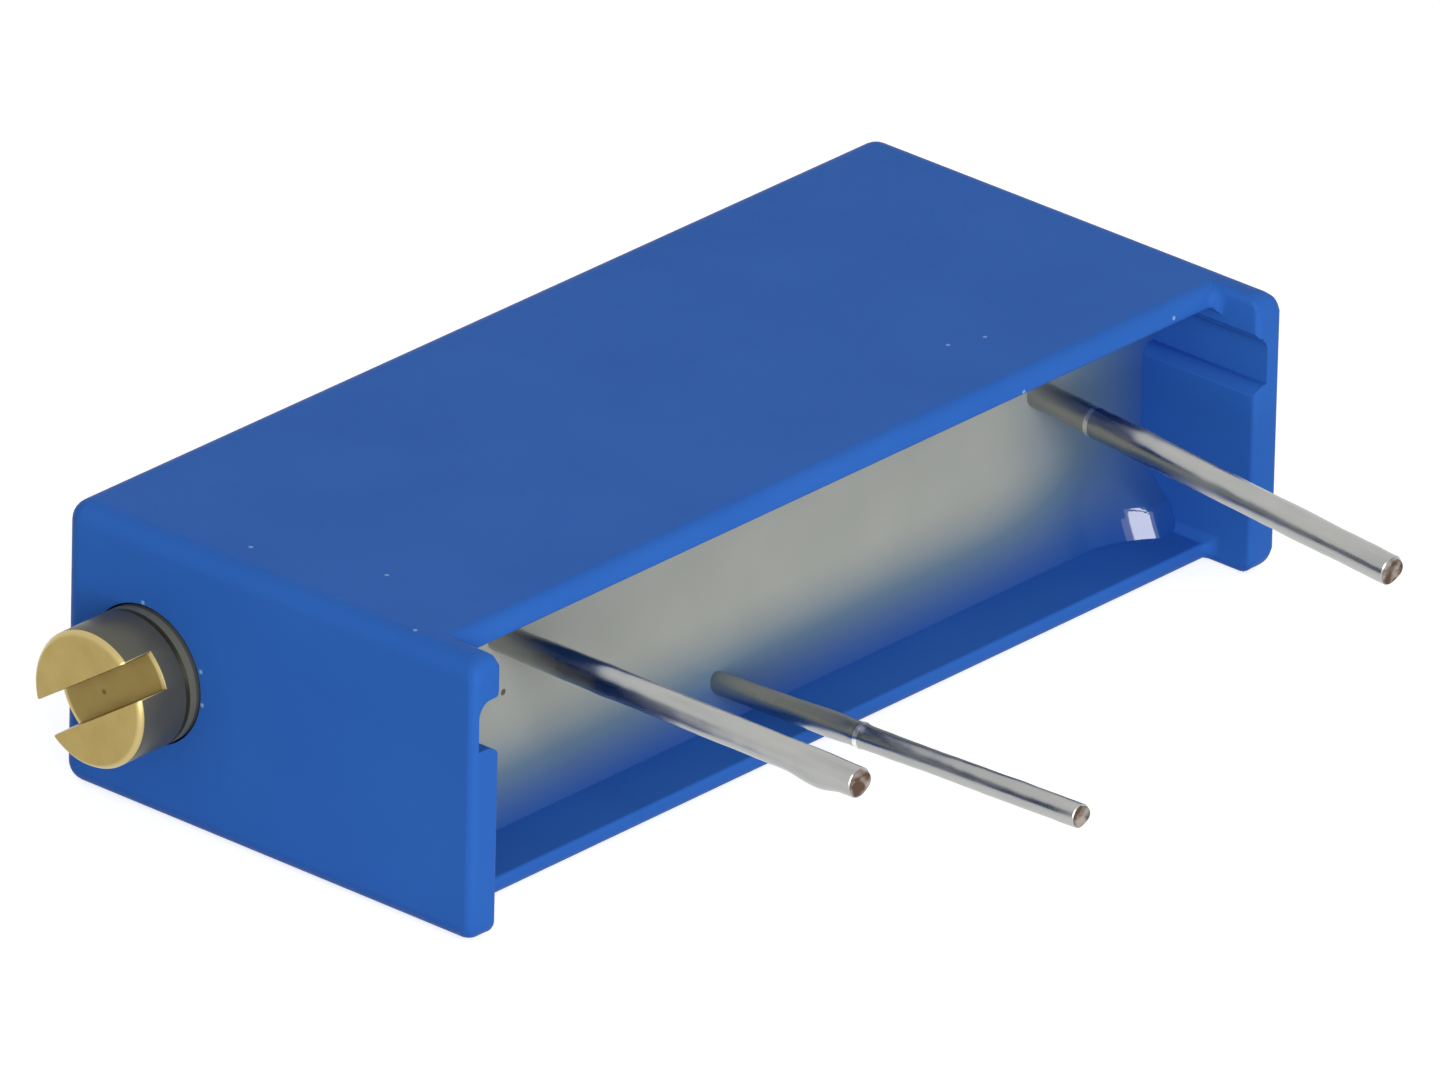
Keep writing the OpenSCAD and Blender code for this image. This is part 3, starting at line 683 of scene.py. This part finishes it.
def cut(piece, tool):
    """Takes a tool's shape out of a piece."""
    bpy.ops.object.select_all(action="DESELECT")
    bpy.context.view_layer.objects.active = piece
    apply(piece, "BOOLEAN", operation="DIFFERENCE", object=tool, solver="EXACT")
    bpy.data.objects.remove(tool)


def shell_with_feet():
    """Solid block of the body, its two feet drawn out, with the radii of the outer mould."""
    piece = block("moulded_body", (-END, MOUTH, 0), (END, BACK, THICK))
    shape = edit(piece)
    for x in (-INNER_END, INNER_END):
        bpy.ops.mesh.select_all(action="SELECT")
        bpy.ops.mesh.bisect(plane_co=(x * MM, 0, 0), plane_no=(1, 0, 0))
    bpy.ops.mesh.select_all(action="DESELECT")
    bpy.ops.mesh.select_mode(type="FACE")
    for face in shape.faces:
        middle = face.calc_center_median() / MM
        looks_front = face.normal.y < -0.9
        face.select_set(looks_front and abs(middle.x) > INNER_END)
    bpy.ops.mesh.extrude_region_move(TRANSFORM_OT_translate={"value": (0, (FEET - MOUTH) * MM, 0)})
    bpy.ops.mesh.select_all(action="SELECT")
    bpy.ops.mesh.dissolve_limited(angle_limit=math.radians(1))
    shape = bmesh.from_edit_mesh(piece.data)
    weight = shape.edges.layers.float.new("bevel_weight_edge")
    for edge in shape.edges:
        radius = OUTER_EDGE
        if lies(edge, x=INNER_END, y=MOUTH):
            radius = FOOT_FILLET
        elif lies(edge, x=INNER_END, y=FEET):
            radius = FOOT_EDGE
        elif lies(edge, x=END, y=FEET):
            radius = FOOT_OUTER_EDGE
        elif lies(edge, x=INNER_END) or lies(edge, y=MOUTH):
            radius = MOUTH_EDGE
        edge[weight] = radius / OUTER_EDGE
    bpy.ops.object.mode_set(mode="OBJECT")
    apply(
        piece, "BEVEL", width=OUTER_EDGE * MM, limit_method="WEIGHT", segments=8,
        use_clamp_overlap=False,
    )
    return piece


def groove_tool(side, depth):
    """Tool that cuts the groove of one end wall, with a round upper shoulder."""
    wall = side * INNER_END
    ends = sorted((wall + side * depth, wall - side * GROOVE_TOOL_OUT))
    low, high = GROOVE_Z - GROOVE_HALF, GROOVE_Z + GROOVE_HALF
    tool = block("groove_tool", (ends[0], TOOL_FRONT, low), (ends[1], SEAT, high))
    floor = INNER_END + depth

    def at_shoulder(edge):
        return lies(edge, x=floor, z=high)

    return rounded(tool, GROOVE_SHOULDER, segments=6, wanted=at_shoulder)


def ledge_tool(side, z, away, radius):
    """Tool that rounds the edge between an end wall and its groove over its whole length; away
    is the side of the edge that the wall stands on, 1 above it or -1 below it."""
    wall = side * INNER_END
    xs = sorted((wall - side * LEDGE_TOOL_OUT, wall + side * radius))
    zs = sorted((z - away * LEDGE_TOOL_OUT, z + away * radius))
    tool = block("ledge_tool", (xs[0], TOOL_FRONT, zs[0]), (xs[1], SEAT, zs[1]))
    bpy.ops.mesh.primitive_cylinder_add(
        vertices=LEDGE_TOOL_SIDES, radius=radius * MM, depth=LEDGE_TOOL_LENGTH * MM,
        location=((wall + side * radius) * MM, 0, (z + away * radius) * MM),
        rotation=(math.radians(90), 0, 0),
    )
    cut(tool, bpy.context.object)
    return tool


def bodywork(finish):
    """Moulded body: the outer block, hollowed from the mouth as its mould core does, with the
    small radii that the mould leaves on the edges round the mouth, the grooves and the feet."""
    piece = shell_with_feet()

    def at_corner(edge):
        return any(lies(edge, x=INNER_END, z=wall) for wall in (LOW_WALL, HIGH_WALL))

    core = block("core", (-INNER_END, TOOL_FRONT, LOW_WALL), (INNER_END, SEAT, HIGH_WALL))
    cut(piece, rounded(core, CORE_EDGE, segments=5, wanted=at_corner))
    for side, depth, low_ledge in (
        (-1, HEAD_GROOVE, HEAD_LOW_LEDGE),
        (1, FAR_GROOVE, FAR_LOW_LEDGE),
    ):
        cut(piece, groove_tool(side, depth))
        cut(piece, ledge_tool(side, GROOVE_Z - GROOVE_HALF, -1, low_ledge))
        cut(piece, ledge_tool(side, GROOVE_Z + GROOVE_HALF, 1, HIGH_LEDGE))
    cut(piece, block("chamber", *CHAMBER))
    cut(piece, block("clip_slot", *CLIP_SLOT))
    cut(piece, rod("head_bore", *HEAD_BORE))
    cut(piece, rod("bearing", *BEARING))

    def at_mouth(edge):
        before = all(v.co.y < RESIN_Y for v in edge.verts)
        by_groove = all(
            abs(v.co.x) > GROOVE_ZONE_X and abs(v.co.z - GROOVE_Z * MM) < GROOVE_ZONE_HALF
            for v in edge.verts
        )
        return before and edge.is_convex and is_sharp(edge, angle=40) and not by_groove

    rounded(piece, INNER_EDGE, segments=3, wanted=at_mouth)
    edit(piece)
    close(piece, angle=30)
    apply(piece, "WEIGHTED_NORMAL", keep_sharp=True, weight=100)
    seat(piece, "housing", [finish])


def head_and_thread(finish):
    """Adjusting screw, turned from the head's face on and slotted, with broken slot edges."""
    bpy.ops.mesh.primitive_circle_add(
        vertices=ROUND_SIDES, radius=TURNED[0][1] * MM, fill_type="NGON",
        location=(TURNED[0][0] * MM, SCREW_Y, SCREW_Z), rotation=(0, math.radians(90), 0),
    )
    piece = bpy.context.object
    piece.name = "brass_screw"
    bpy.ops.object.transform_apply(location=True, rotation=True, scale=True)
    edit(piece)
    for (x, radius), (next_x, next_radius) in zip(TURNED, TURNED[1:]):
        along = ((next_x - x) * MM, 0, 0)
        ratio = next_radius / radius
        bpy.ops.mesh.extrude_region_move(TRANSFORM_OT_translate={"value": along})
        middle = (next_x * MM, SCREW_Y, SCREW_Z)
        bpy.ops.transform.resize(value=(1, ratio, ratio), center_override=middle)
    bpy.ops.mesh.select_all(action="SELECT")
    bpy.ops.mesh.normals_make_consistent(inside=False)
    bpy.ops.object.mode_set(mode="OBJECT")
    blade = block(
        "blade",
        (BLADE_FRONT, -BLADE_HALF, -SLOT_WIDTH / 2),
        (SLOT_FLOOR_X / MM, BLADE_HALF, SLOT_WIDTH / 2),
    )
    blade.rotation_euler.x = SLOT_TURN
    blade.location = (0, SCREW_Y, SCREW_Z)
    cut(piece, blade)
    in_slot = SLOT_FLOOR_X + TOUCH
    across = Quaternion((1, 0, 0), SLOT_TURN) @ Vector((0, 0, 1))
    middle = Vector((0, SCREW_Y, SCREW_Z))

    def at_slot(edge):
        near = all(
            v.co.x < in_slot and abs((v.co - middle).dot(across)) < SLOT_WIDTH * MM / 2 + TOUCH
            for v in edge.verts
        )
        return near and edge.is_convex and is_sharp(edge, angle=50)

    rounded(piece, SLOT_EDGE, segments=2, wanted=at_slot)
    edit(piece)
    close(piece, angle=30)
    apply(piece, "WEIGHTED_NORMAL", keep_sharp=True, weight=100)
    seat(piece, "adjusting_screw", [finish])


def seat(piece, node, finishes):
    """Gives a finished piece its materials and puts it in the place of its solid."""
    piece.data.materials.clear()
    for finish in finishes:
        piece.data.materials.append(finish)
    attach(piece, "screw" if node == "adjusting_screw" else "body")
    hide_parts(node)


def apply(piece, kind, **settings):
    """Puts a modifier on a piece and applies it."""
    made = piece.modifiers.new("shaping", kind)
    for name, value in settings.items():
        setattr(made, name, value)
    bpy.ops.object.modifier_apply(modifier=made.name)


def lumps_at(y, lumps):
    """Extra radius of a wire at y: each lump has a place, a height and a half length."""
    return sum(height * math.exp(-(((y - place) / half) ** 2)) for place, height, half in lumps)


def dipped_wire(name, node, row, radii, lean, lumps, drip, finishes):
    """A lead: bare through the plate, leaned at its root, then drawn on ring by ring with the
    uneven coat that the solder bath left, and sheared off at its end."""
    low, high = (Vector(corner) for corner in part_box(node))
    bare, coated = (radius * MM for radius in radii)
    lumps = [[value * MM for value in lump] for lump in lumps]
    row = row * MM
    lean = math.radians(lean)
    start = Vector(((low.x + high.x) / 2, high.y, row))
    bpy.ops.mesh.primitive_circle_add(
        vertices=WIRE_SIDES, radius=bare, fill_type="NGON", location=start,
        rotation=(math.radians(90), 0, 0),
    )
    piece = bpy.context.object
    piece.name = name
    bpy.ops.object.transform_apply(location=True, rotation=True, scale=True)
    edit(piece)
    bend_y = PLATE_Y - bare / 2
    through = (0, bend_y - start.y, 0)
    bpy.ops.mesh.extrude_region_move(TRANSFORM_OT_translate={"value": through})
    place = Vector((start.x, bend_y, row))
    side = math.copysign(1, lean)
    if lean:
        pivot = place + Vector((0, 0, side * BEND_RADIUS))
        bpy.ops.mesh.spin(steps=BEND_RINGS, angle=abs(lean), center=pivot, axis=(side, 0, 0))
        place = pivot + Quaternion((1, 0, 0), -lean) @ (place - pivot)
    heading = Vector((0, -math.cos(lean), math.sin(lean)))
    length = (place.y - low.y) / math.cos(lean) - coated * math.sin(SHEAR_TILT) * SHEAR_ROOM
    rings = round(length / RING_STEP)
    was = bare
    for ring in range(rings):
        step = heading * length / rings
        place = place + step
        dipped = min(max((RESIN_Y - place.y) / (RESIN_Y - MOUTH * MM), 0), 1)
        now = bare + (coated - bare) * dipped + lumps_at(place.y, lumps)
        bpy.ops.mesh.extrude_region_move(TRANSFORM_OT_translate={"value": step})
        bpy.ops.transform.resize(value=(now / was,) * 3, center_override=place)
        was = now
    rim = now * RIM_LENGTH
    bpy.ops.mesh.extrude_region_move(TRANSFORM_OT_translate={"value": heading * rim})
    bpy.ops.transform.resize(value=(RIM_TAPER,) * 3, center_override=place)
    bpy.ops.mesh.inset(thickness=now * CORE_INSET)
    bpy.ops.transform.translate(value=heading * rim / 2 + CORE_SHIFT)
    bpy.ops.transform.rotate(value=SHEAR_TILT, orient_axis="Z", center_override=place)
    if drip:
        under = Vector((start.x, drip * MM, row - coated))
        bpy.ops.mesh.select_all(action="DESELECT")
        bpy.ops.mesh.select_mode(type="VERT")
        for v in bmesh.from_edit_mesh(piece.data).verts:
            v.select_set((v.co - under).length < DRIP_CORE)
        bpy.ops.transform.translate(
            value=(0, 0, -DRIP), use_proportional_edit=True,
            proportional_edit_falloff="SMOOTH", proportional_size=DRIP_REACH,
        )
    close(piece, angle=40)
    clouds = bpy.data.textures.new("frozen_solder", "CLOUDS")
    clouds.noise_scale = SWELL_SIZE
    apply(piece, "DISPLACE", texture=clouds, strength=SWELL_HEIGHT, mid_level=0.5)
    seat(piece, node, finishes)
    for face in piece.data.polygons:
        face.material_index = 1 if face.normal.dot(heading) > CUT_FACING else 0


def potting(finishes):
    """Epoxy poured over the plate: a level sheet that climbs the lower wall, the low far corner
    and, a little, the upper and the head's wall, and runs into the groove at each end."""
    along, across = RESIN_CUTS
    bpy.ops.mesh.primitive_grid_add(x_subdivisions=along, y_subdivisions=across, size=1)
    piece = bpy.context.object
    piece.name = "poured_epoxy"
    piece.scale = (2 * INNER_END * MM, (HIGH_WALL - LOW_WALL) * MM, 1)
    piece.rotation_euler.x = math.radians(90)
    piece.location = (0, RESIN_Y, (LOW_WALL + HIGH_WALL) / 2 * MM)
    bpy.ops.object.transform_apply(location=True, rotation=True, scale=True)
    shape = edit(piece)
    climbs = [
        (lambda v: v.co.z < LOW_WALL * MM + TOUCH, CLIMB_LOW),
        (lambda v: v.co.z > HIGH_WALL * MM - TOUCH, CLIMB_NEAR),
        (lambda v: v.co.x < TOUCH - INNER_END * MM, CLIMB_NEAR),
        (lambda v: v.co.x > CORNER_FROM and v.co.z < CORNER_TOP, CLIMB_CORNER),
    ]
    for at_wall, (climb, reach) in climbs:
        bpy.ops.mesh.select_mode(type="VERT")
        bpy.ops.mesh.select_all(action="DESELECT")
        for v in shape.verts:
            v.select_set(at_wall(v))
        shape.select_flush(True)
        bpy.ops.transform.translate(
            value=(0, -climb, 0), use_proportional_edit=True,
            proportional_edit_falloff="SHARP", proportional_size=reach,
        )
    for side, depth in ((-1, HEAD_GROOVE), (1, FAR_GROOVE)):
        select_edges(shape, lambda edge: edge.is_boundary and all(
            v.co.x * side > INNER_END * MM - TOUCH
            and abs(v.co.z - GROOVE_Z * MM) < GROOVE_ZONE_HALF
            for v in edge.verts
        ))
        aside = (side * depth * MM, 0, 0)
        bpy.ops.mesh.extrude_region_move(TRANSFORM_OT_translate={"value": aside})
    select_edges(shape, lambda edge: edge.is_boundary)
    bpy.ops.mesh.extrude_region_move(TRANSFORM_OT_translate={"value": (0, 0, 0)})
    bpy.ops.transform.resize(value=(1, 0, 1), center_override=(0, PLATE_Y, 0))
    bpy.ops.mesh.edge_face_add()
    close(piece, angle=50)
    seat(piece, "potting_resin", finishes)
    for face in piece.data.polygons:
        shines = face.normal.dot(BEAD_FACING) > BEAD_SPREAD
        near = (face.center - BEAD).length < BEAD_SIZE
        face.material_index = 1 if shines and near else 0


def dress(names, finish):
    """Gives the solids of those names their finish."""
    for name in names:
        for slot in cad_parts[name].material_slots:
            slot.material = finish


bpy.ops.object.select_all(action="DESELECT")
aim_camera()
light_studio()
lay_floor()

bodywork(moulded_pbt())
head_and_thread(turned_brass())
wire_finishes = [solder_dipped_wire(), sheared_copper()]
for lead in LEADS:
    dipped_wire(*lead, wire_finishes)
potting([
    cast_epoxy("cast_epoxy", roughness=0.2, specular=0.08),
    cast_epoxy("epoxy_bead", roughness=0.06, specular=1.0),
])
for name, tones, size, metallic, roughness, relief, nodes in INSIDE:
    dress(nodes, plain_finish(name, tones, size * MM, metallic, roughness, relief * MM))

bpy.context.scene.view_settings.view_transform = "Standard"
